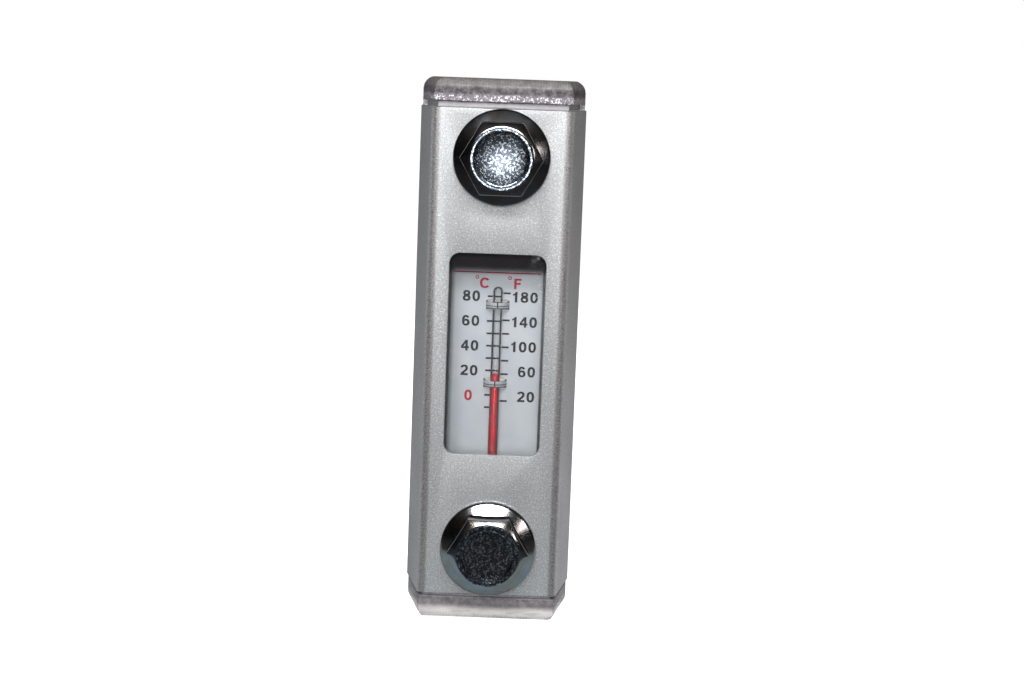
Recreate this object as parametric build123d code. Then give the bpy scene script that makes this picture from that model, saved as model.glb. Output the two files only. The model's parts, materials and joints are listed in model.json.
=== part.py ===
from build123d import *
import os
from math import radians, sqrt, tan

os.makedirs("parts", exist_ok=True)

# Tank level gauge with a thermometer, for the side of an oil tank.
# The flat back lies on Y = 0 and faces +Y, towards the tank. The window faces -Y, and +Z is up.
# The origin is on the back, midway between the two studs. All sizes are in millimetres.

# Fixing to the tank
stud_spacing = 80.0
stud_diameter = 10.0
stud_reach = 18.0

# Cover: an aluminium channel whose sides lean outwards towards the tank, and reach past each stud by cover_end
cover_end = 9.75
cover_front_width = 28.4
cover_back_width = 34.3
cover_reach = 16.0
cover_thickness = 1.2
cover_corner_radius = 1.5
window_width = 19.6
window_height = 41.3
window_corner_radius = 2.2

# Clear moulding: a front body and the thick back plate that is welded to it
back_plate_thickness = 7.8
block_length = 4.7
block_inset = 0.35
upper_end_gap = 1.3
lower_end_gap = 0.7
end_edge_radius = 1.8
cover_fit = 0.1
cover_back_gap = 0.2

# Oil chamber behind the window
window_wall = 2.5
chamber_width = 18.6
chamber_length = 57.0
chamber_depth = 4.5
chamber_corner_radius = 2.0
ledge_width = 1.0
passage_width = 5.0
passage_depth = 5.0
gallery_diameter = 14.4
gallery_depth = 8.4

# Scale plate, its two pairs of clips and its print
plate_thickness = 0.5
plate_fit = 0.1
notch_width = 6.0
notch_height = 5.0
clip_heights = (9.4, -6.9)
clip_width = 1.9
clip_thickness = 0.3
clip_slit = 0.25
rib_thickness = 1.6
rib_setback = 1.2
rib_fit = 0.05
print_thickness = 0.05
tick_thickness = 0.38
celsius_zero = -9.45
celsius_step = 2.575
celsius_tick_length = 1.1
fahrenheit_first = -10.6
fahrenheit_step = 2.81
fahrenheit_tick_length = 1.5
tick_gap = 0.1
rule_height = 15.95
rule_thickness = 0.25
rule_margin = 0.3

# Thermometer
tube_diameter = 2.0
tube_top = 13.3
tube_wall = 0.3
tube_fit = 0.03
tube_offset = 0.2
tube_tip = 0.5
bulb_diameter = 3.4
bulb_length = 4.2
bulb_tip = 0.9
bulb_neck = 0.8
bulb_clearance = 0.6
bulb_end_gap = 0.9
spirit_top = -4.7

# Hollow flange bolts
hex_flats = 14.5
hex_face_diameter = 12.7
head_height = 7.4
hex_chamfer_angle = 30.0
flange_diameter = 19.6
flange_rim = 1.1
flange_rise = 1.5
flange_merge = 0.4
dish_diameter = 10.6
dish_depth = 0.35
bolt_bore = 5.5
bore_runout = 1.0
cross_hole = 4.0
shank_diameter = 9.1
tip_chamfer = 1.0
bolt_hole_clearance = 0.25

# Seal rings
head_seal_section = 2.6
tank_seal_section = 2.65
seal_fit = 0.05
tank_groove_diameter = 14.0
tank_groove_width = 3.5
tank_groove_depth = 2.15

# Places that follow from the sizes above
depth = cover_reach + cover_back_gap + back_plate_thickness
y_face = -depth
y_seam = -back_plate_thickness
y_body = y_face + cover_thickness + cover_fit
y_chamber = y_body + window_wall
y_plate = y_chamber + chamber_depth
y_plate_back = y_plate + plate_thickness
z_cover = stud_spacing / 2 + cover_end
z_upper_ledge = z_cover + upper_end_gap
z_lower_ledge = -z_cover - lower_end_gap
z_top = z_upper_ledge + block_length
z_bottom = z_lower_ledge - block_length
stud_heights = {"upper": stud_spacing / 2, "lower": -stud_spacing / 2}
bolt_hole = stud_diameter + 2 * bolt_hole_clearance
head_seal_seat = shank_diameter + 2 * head_seal_section + 4 * seal_fit
pocket_width = chamber_width + 2 * ledge_width
pocket_length = chamber_length + 2 * ledge_width
plate_width = pocket_width - 2 * plate_fit
plate_length = pocket_length - 2 * plate_fit
y_print = y_plate - print_thickness
y_tube = y_print - tube_fit - tube_diameter / 2
tube_bottom = bulb_length + bulb_end_gap - chamber_length / 2
clip_inside = y_plate - y_tube + tube_diameter / 2 + tube_fit
clip_outside = clip_inside + clip_thickness
y_gallery = y_seam - gallery_depth
y_cross_hole = y_seam - gallery_depth / 2


from_bottom = (Align.CENTER, Align.CENTER, Align.MIN)
from_top = (Align.CENTER, Align.CENTER, Align.MAX)


def rod(diameter, y_from, y_to, z=0.0):
    """A round bar along Y."""
    bar = Cylinder(diameter / 2, y_to - y_from, align=from_bottom)
    return Pos(0, y_from, z) * Rot(-90, 0, 0) * bar


def block(x_from, x_to, y_from, y_to, z_from, z_to):
    """A box between two corners."""
    size = (x_to - x_from, y_to - y_from, z_to - z_from)
    middle = ((x_from + x_to) / 2, (y_from + y_to) / 2, (z_from + z_to) / 2)
    return Pos(*middle) * Box(*size)


def rounded_block(width, height, radius, y_from, y_to, z=0.0):
    """A bar along Y with a round-cornered rectangle as its section."""
    limit = min(width, height) / 2 - 0.01
    section = RectangleRounded(width, height, min(radius, limit))
    bar = extrude(section, amount=y_to - y_from)
    return Pos(0, y_to, z) * Rot(90, 0, 0) * bar


def channel_outline(inset, y_back):
    """The channel's outer section, moved inwards by an inset and closed at y_back."""
    lean = (cover_back_width - cover_front_width) / 2 / cover_reach
    slant = inset * sqrt(1 + lean**2)
    y_front = y_face + inset
    half_front = cover_front_width / 2 + lean * inset - slant
    half_back = half_front + lean * (y_back - y_front)
    points = [(half_front, y_front), (half_back, y_back)]
    mirrored = [(-x, y) for x, y in reversed(points)]
    return make_face(Polyline(*points, *mirrored, close=True))


def upright(section, z_from, z_to):
    """A section in the XY plane, raised between two heights."""
    return Pos(0, 0, z_from) * extrude(section, amount=z_to - z_from)


def front_cover():
    """The channel, with a round hole for each bolt and the window between them."""
    y_edge = y_face + cover_reach
    outer = channel_outline(0, y_edge)
    inner = channel_outline(cover_thickness, y_edge + cover_thickness)
    outer = fillet(outer.vertices().group_by(Axis.Y)[0], cover_corner_radius)
    inner_radius = max(cover_corner_radius - cover_thickness, 0.2)
    inner = fillet(inner.vertices().group_by(Axis.Y)[0], inner_radius)
    shell = upright(outer - inner, -z_cover, z_cover)
    y_through = y_face + 2 * cover_thickness
    y_before = y_face - cover_thickness
    for z in stud_heights.values():
        shell -= rod(head_seal_seat, y_before, y_through, z)
    window = rounded_block(window_width, window_height, window_corner_radius, y_before, y_through)
    return shell - window


def end_edges(solid):
    """The outer edges of both end faces, apart from those on the seam."""
    ends = solid.edges().group_by(Axis.Z)
    picked = [e for e in ends[0] + ends[-1] if e.center().Y < y_seam - 0.001]
    return picked


def sight_body():
    """The clear front body: a channel-shaped bar with full-width end blocks, open towards the seam."""
    body = upright(channel_outline(cover_thickness + cover_fit, y_seam), z_bottom, z_top)
    body += upright(channel_outline(block_inset, y_seam), z_upper_ledge, z_top)
    body += upright(channel_outline(block_inset, y_seam), z_bottom, z_lower_ledge)
    body = fillet(end_edges(body), min(end_edge_radius, 0.45 * block_length))
    radius = chamber_corner_radius
    body -= rounded_block(chamber_width, chamber_length, radius, y_chamber, y_plate)
    body -= rounded_block(pocket_width, pocket_length, radius + ledge_width, y_plate, y_seam)
    for z in stud_heights.values():
        body -= rod(bolt_hole, y_body, y_seam, z)
        body -= rod(head_seal_seat, y_body, y_face + head_seal_section + seal_fit, z)
        body -= rod(gallery_diameter, y_gallery, y_seam, z)
        pocket_end = pocket_length / 2 - ledge_width
        low, high = sorted((z, pocket_end if z > 0 else -pocket_end))
        half = passage_width / 2
        body -= block(-half, half, y_seam - passage_depth, y_seam, low, high)
    return body


def back_plate():
    """The thick plate that closes the body, with a seal groove round each stud and two plate ribs."""
    half_width = channel_outline(block_inset, y_seam).bounding_box().max.X
    plate = block(-half_width, half_width, y_seam, 0, z_bottom, z_top)
    plate = fillet(plate.edges().filter_by(Axis.Y), end_edge_radius)
    for z in stud_heights.values():
        plate -= rod(bolt_hole, y_seam, 0, z)
        outer = tank_groove_diameter + 2 * tank_groove_width
        ring = rod(outer, -tank_groove_depth, 0, z) - rod(tank_groove_diameter, -tank_groove_depth, 0, z)
        plate -= ring
    rib_outer = pocket_width / 2 - rib_setback
    rib_half_length = pocket_length / 2 - notch_height
    for side in (-1, 1):
        x_from, x_to = sorted((side * rib_outer, side * (rib_outer - rib_thickness)))
        plate += block(x_from, x_to, y_plate_back + rib_fit, y_seam, -rib_half_length, rib_half_length)
    return plate


def scale_plate():
    """The sheet behind the thermometer: lanced clips stand out of it, and a notch at each end lets oil by."""
    radius = chamber_corner_radius + ledge_width - plate_fit
    sheet = rounded_block(plate_width, plate_length, radius, y_plate, y_plate_back)
    z_end = plate_length / 2
    z_bulb_notch = tube_bottom + bulb_clearance
    sheet -= block(-notch_width / 2, notch_width / 2, y_plate, y_plate_back, z_end - notch_height, z_end)
    sheet -= block(-notch_width / 2, notch_width / 2, y_plate, y_plate_back, -z_end, z_bulb_notch)
    hoop = Circle(clip_outside) - Circle(clip_inside)
    arch = hoop & (Pos(0, -clip_outside) * Rectangle(2 * clip_outside, 2 * clip_outside))
    for z in clip_heights:
        low, high = z - clip_width / 2, z + clip_width / 2
        left, right = tube_offset - clip_inside, tube_offset + clip_inside
        sheet -= block(left, right, y_plate, y_plate_back, low - clip_slit, high + clip_slit)
        sheet += Pos(tube_offset, y_plate, 0) * upright(arch, low, high)
        left, right = tube_offset - clip_slit / 2, tube_offset + clip_slit / 2
        sheet -= block(left, right, y_plate - clip_outside, y_plate, low, high)
    return sheet


def clear_of_clips(z):
    """True where a tick at this height doesn't fall on a clip or its slots."""
    reach = clip_width / 2 + clip_slit + tick_thickness / 2
    return all(abs(z - clip) > reach for clip in clip_heights)


def ticks(x_from, x_to, heights):
    """Printed strokes on the scale plate, in one node."""
    half = tick_thickness / 2
    strokes = [block(x_from, x_to, y_print, y_plate, z - half, z + half) for z in heights]
    return Compound(children=strokes)


def celsius_ticks():
    """A stroke for each ten degrees, from -10 to 80, left of the tube and on behind it."""
    heights = [celsius_zero + celsius_step * tens for tens in range(-1, 9)]
    x_from = tube_offset - tube_diameter / 2 - celsius_tick_length
    x_to = tube_offset + tube_diameter / 2 - tick_gap
    return ticks(x_from, x_to, filter(clear_of_clips, heights))


def fahrenheit_ticks():
    """A stroke for each twenty degrees, from 20 to 180, right of the tube."""
    heights = [fahrenheit_first + fahrenheit_step * step for step in range(9)]
    x_from = tube_offset + tube_diameter / 2 + tick_gap
    return ticks(x_from, x_from + fahrenheit_tick_length, filter(clear_of_clips, heights))


def header_rule():
    """The printed line under the bare heading."""
    half = chamber_width / 2 - rule_margin
    return block(-half, half, y_print, y_plate, rule_height, rule_height + rule_thickness)


def tube_shape(shrink, top):
    """A rod with a coned tip and a wider bulb at its foot, made smaller all round by a wall."""
    radius = tube_diameter / 2 - shrink
    bulb = bulb_diameter / 2 - shrink
    low = tube_bottom - bulb_length + shrink
    foot = [(0, low), (bulb - bulb_tip, low), (bulb, low + bulb_tip)]
    neck = [(bulb, tube_bottom - bulb_neck - shrink), (radius, tube_bottom - shrink)]
    tip = [(radius, top - tube_tip), (radius - tube_tip, top), (0, top)]
    half = Plane.XZ * make_face(Polyline(*foot, *neck, *tip, close=True))
    return Pos(tube_offset, y_tube, 0) * revolve(half, axis=Axis.Z)


def thermometer_glass():
    """The sealed glass tube with its bulb."""
    return tube_shape(0, tube_top) - tube_shape(tube_wall, tube_top - tube_wall)


def thermometer_spirit():
    """The red spirit: the filled bulb and the column that stands in the tube."""
    return tube_shape(tube_wall + tube_fit, spirit_top)


def chamfered_hex(flats, height, face_diameter):
    """A hexagonal bar along Z from 0, its corners turned off at an angle towards a round face."""
    bar = extrude(RegularPolygon(flats / 2, 6, major_radius=False), amount=height)
    face = face_diameter / 2
    rim = face + height / 3
    z_rim = height - (rim - face) * tan(radians(hex_chamfer_angle))
    half = make_face(Polyline((0, 0), (rim, 0), (rim, z_rim), (face, height), (0, height), close=True))
    return bar & revolve(Plane.XZ * half, axis=Axis.Z)


def flange_bolt():
    """A hollow flange bolt along Z: its seat is at 0, with the head above, then the shank and the stud below."""
    head = chamfered_hex(hex_flats, head_height, hex_face_diameter)
    merge = hex_flats / 2 - flange_merge
    cone_top = flange_rim + flange_rise
    rim = [(0, 0), (flange_diameter / 2, 0), (flange_diameter / 2, flange_rim), (merge, cone_top), (0, cone_top)]
    head += revolve(Plane.XZ * make_face(Polyline(*rim, close=True)), axis=Axis.Z)
    dish = Cone(dish_diameter / 2 - dish_depth, dish_diameter / 2, dish_depth, align=from_bottom)
    head -= Pos(0, 0, head_height - dish_depth) * dish
    stud = Cylinder(stud_diameter / 2, stud_reach, align=from_top)
    stud = Pos(0, 0, -depth) * chamfer(stud.edges().group_by(Axis.Z)[0], tip_chamfer)
    stem = Cylinder(shank_diameter / 2, depth, align=from_top) + stud
    z_tip = -depth - stud_reach
    z_cross = y_face - y_cross_hole
    z_bore_end = z_cross + cross_hole / 2 + bore_runout
    stem -= Pos(0, 0, z_tip) * Cylinder(bolt_bore / 2, z_bore_end - z_tip, align=from_bottom)
    stem -= Pos(0, 0, z_cross) * Rot(90, 0, 0) * Cylinder(cross_hole / 2, 2 * stud_diameter)
    return Rot(90, 0, 0) * (head + stem)


def seal_ring(inner_diameter, section, y_from, z):
    """A square-section ring about a stud."""
    y_to = y_from + section
    return rod(inner_diameter + 2 * section, y_from, y_to, z) - rod(inner_diameter, y_from, y_to, z)


nodes = {
    "front_cover": front_cover(),
    "sight_body": sight_body(),
    "back_plate": back_plate(),
    "scale_plate": scale_plate(),
    "celsius_ticks": celsius_ticks(),
    "fahrenheit_ticks": fahrenheit_ticks(),
    "header_rule": header_rule(),
    "thermometer_glass": thermometer_glass(),
    "thermometer_spirit": thermometer_spirit(),
}
bolt = flange_bolt()
for place, z in stud_heights.items():
    nodes[f"{place}_bolt"] = Pos(0, y_face, z) * bolt
    head_seal_inner = shank_diameter + 2 * seal_fit
    nodes[f"{place}_head_seal"] = seal_ring(head_seal_inner, head_seal_section, y_face, z)
    tank_seal_inner = tank_groove_diameter + tank_groove_width - tank_seal_section
    y_seal = -tank_groove_depth
    nodes[f"{place}_tank_seal"] = seal_ring(tank_seal_inner, tank_seal_section, y_seal, z)

for name, solid in nodes.items():
    export_step(solid, f"parts/{name}.step")
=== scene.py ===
import json
import math
import bmesh
import bpy
from mathutils import Matrix, Vector


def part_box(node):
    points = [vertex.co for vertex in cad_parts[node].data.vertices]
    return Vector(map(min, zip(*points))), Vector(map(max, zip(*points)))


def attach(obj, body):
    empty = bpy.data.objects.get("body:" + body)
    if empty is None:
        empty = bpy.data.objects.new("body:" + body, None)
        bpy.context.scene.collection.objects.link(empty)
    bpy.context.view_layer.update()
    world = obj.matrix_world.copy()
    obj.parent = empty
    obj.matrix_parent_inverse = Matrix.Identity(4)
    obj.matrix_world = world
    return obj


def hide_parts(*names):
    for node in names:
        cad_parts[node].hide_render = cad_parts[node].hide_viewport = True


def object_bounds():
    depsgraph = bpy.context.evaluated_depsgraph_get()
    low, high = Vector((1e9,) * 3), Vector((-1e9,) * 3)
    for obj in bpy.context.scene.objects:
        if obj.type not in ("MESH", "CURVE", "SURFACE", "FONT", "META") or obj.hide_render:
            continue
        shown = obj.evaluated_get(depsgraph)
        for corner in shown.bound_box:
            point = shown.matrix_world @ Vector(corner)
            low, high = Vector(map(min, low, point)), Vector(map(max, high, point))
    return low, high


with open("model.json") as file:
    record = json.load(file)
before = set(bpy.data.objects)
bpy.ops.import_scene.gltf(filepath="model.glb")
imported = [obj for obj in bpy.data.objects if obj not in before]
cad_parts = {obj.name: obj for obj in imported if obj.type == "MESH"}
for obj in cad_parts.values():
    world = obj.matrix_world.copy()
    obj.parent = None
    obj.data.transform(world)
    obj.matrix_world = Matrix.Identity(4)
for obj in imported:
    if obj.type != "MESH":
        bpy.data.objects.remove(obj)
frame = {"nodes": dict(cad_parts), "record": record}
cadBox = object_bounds()
nodes = frame["nodes"]


class Wire:
    # one socket of a node tree; sums on it add Math nodes
    def __init__(self, tree, socket):
        self.tree = tree
        self.socket = socket

    def sum(self, operation, *values):
        return self.tree.add("ShaderNodeMath", {"operation": operation}, dict(enumerate(values)))

    def __add__(self, other):
        return self.sum("ADD", self, other)

    __radd__ = __add__

    def __sub__(self, other):
        return self.sum("SUBTRACT", self, other)

    def __rsub__(self, other):
        return self.sum("SUBTRACT", other, self)

    def __mul__(self, other):
        return self.sum("MULTIPLY", self, other)

    __rmul__ = __mul__

    def __truediv__(self, other):
        return self.sum("DIVIDE", self, other)

    def __gt__(self, other):
        return self.sum("GREATER_THAN", self, other)

    def __lt__(self, other):
        return self.sum("LESS_THAN", self, other)

    def __pow__(self, other):
        return self.sum("POWER", self, other)

    def __abs__(self):
        return self.sum("ABSOLUTE", self)

    def least(self, other):
        return self.sum("MINIMUM", self, other)

    def most(self, other):
        return self.sum("MAXIMUM", self, other)


class Tree:
    # a node tree with one way to add any node: its type, its settings, then its sockets
    def __init__(self, tree):
        self.tree = tree

    def add(self, kind, settings=None, sockets=None, output=0):
        node = self.tree.nodes.new(kind)
        for name, value in (settings or {}).items():
            if name == "stops":
                self.setStops(node.color_ramp, value)
            else:
                setattr(node, name, value)
        for key, value in (sockets or {}).items():
            if isinstance(value, Wire):
                self.tree.links.new(value.socket, node.inputs[key])
            else:
                node.inputs[key].default_value = value
        return Wire(self, node.outputs[output]) if node.outputs else None

    def setStops(self, ramp, stops):
        while len(ramp.elements) < len(stops):
            ramp.elements.new(1.0)
        for element, (place, colour) in zip(ramp.elements, stops):
            element.position = place
            element.color = (*colour, 1.0)


socketNames = dict(
    baseColor="Base Color", metallic="Metallic", roughness="Roughness", alpha="Alpha", normal="Normal",
    specularIorLevel="Specular IOR Level", coatWeight="Coat Weight", coatRoughness="Coat Roughness",
    emissionColor="Emission Color", emissionStrength="Emission Strength",
)


class Finish(Tree):
    # a material for one kind of surface, with the patterns that the finishes share
    def __init__(self, name):
        self.material = bpy.data.materials.new(name)
        self.material.use_nodes = True
        super().__init__(self.material.node_tree)
        self.tree.nodes.clear()
        self.place = self.add("ShaderNodeTexCoord", output="Object")

    def axes(self):
        split = self.add("ShaderNodeSeparateXYZ", sockets={0: self.place})
        outputs = split.socket.node.outputs
        return [Wire(self, outputs[axis]) for axis in range(3)]

    def grain(self, size, detail=2.0, rough=0.5):
        pattern = {"Vector": self.place, "Scale": 1.0 / size, "Detail": detail, "Roughness": rough}
        return self.add("ShaderNodeTexNoise", sockets=pattern)

    def cells(self, size):
        return self.add(
            "ShaderNodeTexVoronoi", sockets={"Vector": self.place, "Scale": 1.0 / size}, output="Distance"
        )

    def step(self, value, low, high, first=0.0, last=1.0):
        limits = {"Value": value, "From Min": low, "From Max": high, "To Min": first, "To Max": last}
        return self.add("ShaderNodeMapRange", {"interpolation_type": "SMOOTHSTEP"}, limits)

    def tint(self, factor, colourA, colourB):
        sides = {"Factor": factor}
        for key, colour in ((6, colourA), (7, colourB)):
            sides[key] = colour if isinstance(colour, Wire) else (*colour, 1.0)
        return self.add("ShaderNodeMix", {"data_type": "RGBA"}, sides, output=2)

    def bump(self, height, strength, distance):
        relief = {"Height": height, "Strength": strength, "Distance": distance}
        return self.add("ShaderNodeBump", sockets=relief)

    def surface(self, **sockets):
        values = {}
        for name, value in sockets.items():
            isColour = isinstance(value, tuple) and len(value) == 3
            values[socketNames[name]] = (*value, 1.0) if isColour else value
        return self.add("ShaderNodeBsdfPrincipled", sockets=values)

    def mixed(self, factor, first, second):
        return self.add("ShaderNodeMixShader", sockets={0: factor, 1: first, 2: second})

    def glazed(self, body, normal, density, roughness, share=None):
        # a clear body with a clean reflection over it
        gloss = self.surface(baseColor=(1.0, 1.0, 1.0), metallic=1.0, roughness=roughness, normal=normal)
        sheen = self.add("ShaderNodeFresnel", sockets={"IOR": density, "Normal": normal})
        return self.mixed(sheen if share is None else sheen * share, body, gloss)

    def done(self, shader):
        self.add("ShaderNodeOutputMaterial", sockets={"Surface": shader})
        return self.material


# finishes: sizes and places are in metres, and a step's limits are levels of the pattern that it reads

blast = dict(
    colour=(0.68, 0.69, 0.70), dark=(0.40, 0.41, 0.42), bright=(0.93, 0.94, 0.95), cloud=(0.60, 0.61, 0.62),
    grain=0.00030, glint=0.00051, patch=0.012, roughness=0.46, metallic=0.62, relief=0.00006,
    bend=0.0133, bendReach=0.0010, bendCore=0.0003, bendFront=-0.0220, bendShade=(0.13, 0.10, 0.095),
)


def blastedAluminium():
    # fine grain with glints, and painted shade darker along the bends between the front and the sides
    f = Finish("blastedAluminium")
    fine = f.grain(blast["grain"], 3.0, 0.65)
    broad = f.grain(blast["patch"], 2.0)
    glint = f.cells(blast["glint"])
    shade = f.tint(f.step(fine, 0.32, 0.68), blast["dark"], blast["colour"])
    shade = f.tint(f.step(glint, 0.30, 0.05), shade, blast["bright"])
    shade = f.tint(f.step(broad, 0.3, 0.7, 0.0, 0.10), shade, blast["cloud"])
    x, y = f.axes()[:2]
    # painted shade: the colour is darkened along each bend, where the curved metal reflects dark
    bend = f.step(abs(abs(x) - blast["bend"]), blast["bendReach"], blast["bendCore"])
    onFront = y < blast["bendFront"]
    shade = f.tint(bend * onFront * f.step(fine, 0.3, 0.6, 0.72, 0.5), shade, blast["bendShade"])
    rough = f.step(broad, 0.3, 0.7, blast["roughness"] - 0.04, blast["roughness"] + 0.05)
    normal = f.bump(fine * 0.7 + glint * 0.5, 0.35, blast["relief"])
    return f.done(f.surface(baseColor=shade, metallic=blast["metallic"], roughness=rough, normal=normal))


zinc = dict(
    colour=(0.62, 0.64, 0.67), deep=(0.10, 0.13, 0.17), pale=(0.78, 0.86, 0.94), amber=(0.52, 0.40, 0.28),
    violet=(0.44, 0.42, 0.54), wall=(0.14, 0.14, 0.15), wallTilt=0.35, wallFrom=-0.0245,
    pit=0.00040, flake=0.00052, haze=0.0030, film=0.0052, drawn=0.0009, relief=0.000012,
    roughness=0.15, faceRoughness=0.035, faceDepth=0.0308, faceFade=0.0002, faceRadius=0.0063,
    boltHeight=0.040,
)


def brightZinc():
    # stained bright plating with painted shade on the hexagon's sides, and a pitted and speckled end face
    f = Finish("brightZinc")
    x, y, z = f.axes()
    off = abs(z) - zinc["boltHeight"]
    reach = (x * x + off * off) ** 0.5
    face = f.step(y, -zinc["faceDepth"], -zinc["faceDepth"] - zinc["faceFade"]) * (reach < zinc["faceRadius"])
    pits = f.grain(zinc["pit"], 3.0, 0.65)
    flakes = f.cells(zinc["flake"])
    haze = f.grain(zinc["haze"], 3.0)
    film = f.grain(zinc["film"], 2.0)
    drawn = f.grain(zinc["drawn"], 2.0)
    speck = f.step(pits + flakes * 0.35, 0.54, 0.70)
    shade = f.tint(f.step(film, 0.55, 0.40, 0.0, 0.45), zinc["colour"], zinc["amber"])
    shade = f.tint(f.step(haze, 0.48, 0.75, 0.0, 0.45), shade, zinc["violet"])
    # painted shade: the hexagon's sides are darkened in the colour
    normal = f.add("ShaderNodeNewGeometry", output="Normal")
    forward = f.add("ShaderNodeSeparateXYZ", sockets={0: normal}, output=1)
    shade = f.tint((abs(forward) < zinc["wallTilt"]) * (y < zinc["wallFrom"]), shade, zinc["wall"])
    shade = f.tint(face * 0.92, shade, f.tint(speck, zinc["pale"], zinc["deep"]))
    rough = f.step(haze, 0.3, 0.7, zinc["roughness"], zinc["roughness"] + 0.05) + face * zinc["faceRoughness"]
    height = face * (pits * 0.35 + flakes * 0.25) + (1 - face) * drawn * 0.6
    normal = f.bump(height, 0.9, zinc["relief"])
    return f.done(f.surface(baseColor=shade, metallic=1.0, roughness=rough, normal=normal))


moulding = dict(
    tint=(0.80, 0.83, 0.83), rearShade=(0.34, 0.36, 0.37), paintedRimShadow=(0.015, 0.014, 0.015),
    scuffShade=(0.50, 0.48, 0.49), paintedSparkle=(0.98, 0.96, 1.0), ribShade=(0.16, 0.15, 0.15),
    flow=0.006, fine=0.0006, scuff=0.0014, spark=0.00035, ribPitch=0.00055, relief=0.0003,
    veil=0.016, roughness=0.05, glossRoughness=0.07, density=1.49,
    rimFrom=0.0160, rimTo=0.0186, chamberTall=0.0215, chamberHalf=0.0105, rearFrom=-0.0085, rearTo=-0.0070,
    endFrom=0.0498, endTo=0.0500, lipFrom=0.0538, lipTo=0.0546, bandFrom=0.04975, bandLength=0.0062,
    paintedUpperBands=[
        (0.00, (0.38, 0.36, 0.39)), (0.16, (0.40, 0.38, 0.41)), (0.205, (0.05, 0.04, 0.05)),
        (0.235, (0.18, 0.16, 0.17)), (0.33, (0.24, 0.22, 0.25)), (0.43, (0.15, 0.13, 0.14)),
        (0.50, (0.06, 0.055, 0.065)), (0.63, (0.07, 0.065, 0.07)), (0.70, (0.16, 0.15, 0.15)),
        (0.85, (0.21, 0.20, 0.195)), (1.00, (0.19, 0.18, 0.175)),
    ],
    paintedLowerBands=[
        (0.00, (0.05, 0.05, 0.06)), (0.04, (0.08, 0.07, 0.08)), (0.07, (0.27, 0.25, 0.26)),
        (0.12, (0.16, 0.15, 0.16)), (0.17, (0.085, 0.08, 0.088)), (0.38, (0.10, 0.09, 0.10)),
        (0.46, (0.30, 0.28, 0.28)), (0.56, (0.66, 0.64, 0.63)), (1.00, (0.76, 0.74, 0.73)),
    ],
)


def clearMoulding():
    # clear in the middle; the thick end blocks carry painted bands of reflected light and shade along their
    # length
    f = Finish("clearMoulding")
    x, y, z = f.axes()
    tall = abs(z)
    flow = f.grain(moulding["flow"], 3.0, 0.6)
    fine = f.grain(moulding["fine"], 3.0, 0.6)
    scuff = f.grain(moulding["scuff"], 4.0, 0.7)
    spark = f.grain(moulding["spark"], 2.0, 0.6)
    ribs = f.add("ShaderNodeMath", {"operation": "SINE"}, {0: x * (2 * math.pi / moulding["ribPitch"])})
    ends = f.step(tall, moulding["endFrom"], moulding["endTo"])
    lip = f.step(tall, moulding["lipFrom"], moulding["lipTo"])
    height = flow * 0.5 + fine * 0.25 * ends + ribs * 0.25 * lip + scuff * 0.2 * ends
    normal = f.bump(height, 0.35, moulding["relief"])

    # painted reflected light and shade: the colour bands stand for what the thick clear ends reflect and bend
    waver = (flow - 0.5) * 0.0006 + (fine - 0.5) * 0.0003
    along = (tall - moulding["bandFrom"] + waver) * (1.0 / moulding["bandLength"])
    upper = f.add("ShaderNodeValToRGB", {"stops": moulding["paintedUpperBands"]}, {0: along})
    lower = f.add("ShaderNodeValToRGB", {"stops": moulding["paintedLowerBands"]}, {0: along})
    shade = f.tint(z > 0.0, lower, upper)
    shade = f.tint(f.step(scuff, 0.35, 0.7, 0.0, 0.30), shade, moulding["scuffShade"])
    # painted highlight: white sparkles along the upper end block's bright band
    glow = f.step(along, 0.20, 0.26) * f.step(along, 0.46, 0.36) * (z > 0.0)
    shade = f.tint(glow * f.step(spark, 0.54, 0.60), shade, moulding["paintedSparkle"])
    shade = f.tint(lip * f.step(ribs, -0.2, 0.9, 0.0, 0.35), shade, moulding["ribShade"])
    thin = f.step(along, 0.46, 0.60, 0.0, 0.45) * (z < 0.0) * f.step(flow, 0.40, 0.52, 0.4, 1.0)
    thick = f.surface(
        baseColor=shade,
        roughness=f.step(fine, 0.3, 0.7, 0.16, 0.30),
        alpha=f.step(scuff, 0.3, 0.7, 0.86, 0.95) - thin,
        specularIorLevel=0.22,
        normal=normal,
    )

    rear = f.step(y, moulding["rearFrom"], moulding["rearTo"])  # the back half is greyer
    inChamber = (tall < moulding["chamberTall"]) * (abs(x) < moulding["chamberHalf"]) * (1 - rear)
    rim = f.step(z, moulding["rimFrom"], moulding["rimTo"]) * inChamber  # painted shadow of the cover's window edge, dark across the chamber's upper rim
    tint = f.tint(rear, moulding["tint"], moulding["rearShade"])
    veil = f.step(flow, 0.3, 0.7, moulding["veil"] * 0.8, moulding["veil"] * 1.3)
    body = f.surface(
        baseColor=f.tint((rim * 20.0).least(1.0), tint, moulding["paintedRimShadow"]),
        alpha=veil + rim * 0.88 + rear * 0.55,
        roughness=moulding["roughness"],
        specularIorLevel=0.0,
        normal=normal,
    )
    middle = f.glazed(body, normal, moulding["density"], moulding["glossRoughness"])
    return f.done(f.mixed(ends, middle, thick))


enamel = dict(
    colour=(0.46, 0.50, 0.54), light=(0.53, 0.56, 0.59), fleck=(0.50, 0.54, 0.58), edge=(0.05, 0.05, 0.06),
    cloud=0.006, grain=0.0004, relief=0.00002, shadow=(0.035, 0.04, 0.045),
    shadowFrom=0.0166, shadowTo=0.0184, sideFrom=-0.0084, sideTo=-0.0093,
    clips=(0.0094, -0.0069), clipReach=0.00066, clipShade=(0.36, 0.39, 0.42), clipFoot=-0.00042,
    strokeOff=0.00005, strokeHalf=0.00009,
)
glass = dict(
    tint=(0.40, 0.46, 0.49), paintedClipShadow=(0.02, 0.02, 0.02), ripple=0.003, relief=0.0001, density=1.5,
    roughness=0.03, glossRoughness=0.10,
)


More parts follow.
